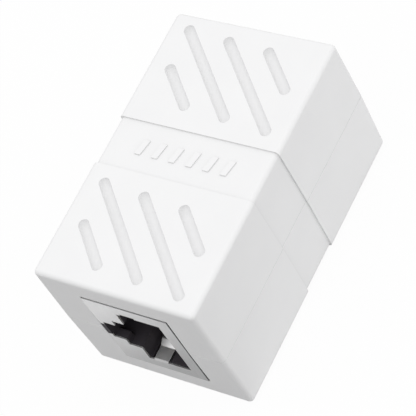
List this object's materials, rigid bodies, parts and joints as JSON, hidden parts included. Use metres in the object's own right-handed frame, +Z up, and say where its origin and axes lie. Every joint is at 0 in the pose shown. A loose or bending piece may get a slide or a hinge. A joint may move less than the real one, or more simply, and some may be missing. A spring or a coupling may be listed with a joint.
{
  "type": "rj45 inline coupler",
  "caption": "Shielded inline coupler for network cables: a white two-part case with slanted grip grooves on top and a keyed modular port in each end, joined by a board.",
  "frame": {"origin": "middle of the case on the surface it stands on", "axes": "+Y along the case from the front port to the rear port, +Z up, +X away from the board and the latch side of both ports"},
  "size_m": [0.0254, 0.043, 0.0233],
  "materials": {
    "case": "satin white moulded plastic",
    "housing": "black moulded plastic",
    "shield": "tinned sheet metal",
    "contact": "gold-plated",
    "board": "green solder mask"
  },
  "bodies": {
    "root": {"upper_shell": "case", "lower_shell": "case", "circuit_board": "board", "front_jack_shield": "shield", "front_jack_housing": "housing", "front_contact_carrier": "housing", "front_contact_1": "contact", "front_contact_2": "contact", "front_contact_3": "contact", "front_contact_4": "contact", "front_contact_5": "contact", "front_contact_6": "contact", "front_contact_7": "contact", "front_contact_8": "contact", "rear_jack_shield": "shield", "rear_jack_housing": "housing", "rear_contact_carrier": "housing", "rear_contact_1": "contact", "rear_contact_2": "contact", "rear_contact_3": "contact", "rear_contact_4": "contact", "rear_contact_5": "contact", "rear_contact_6": "contact", "rear_contact_7": "contact", "rear_contact_8": "contact"}
  },
  "joints": []
}
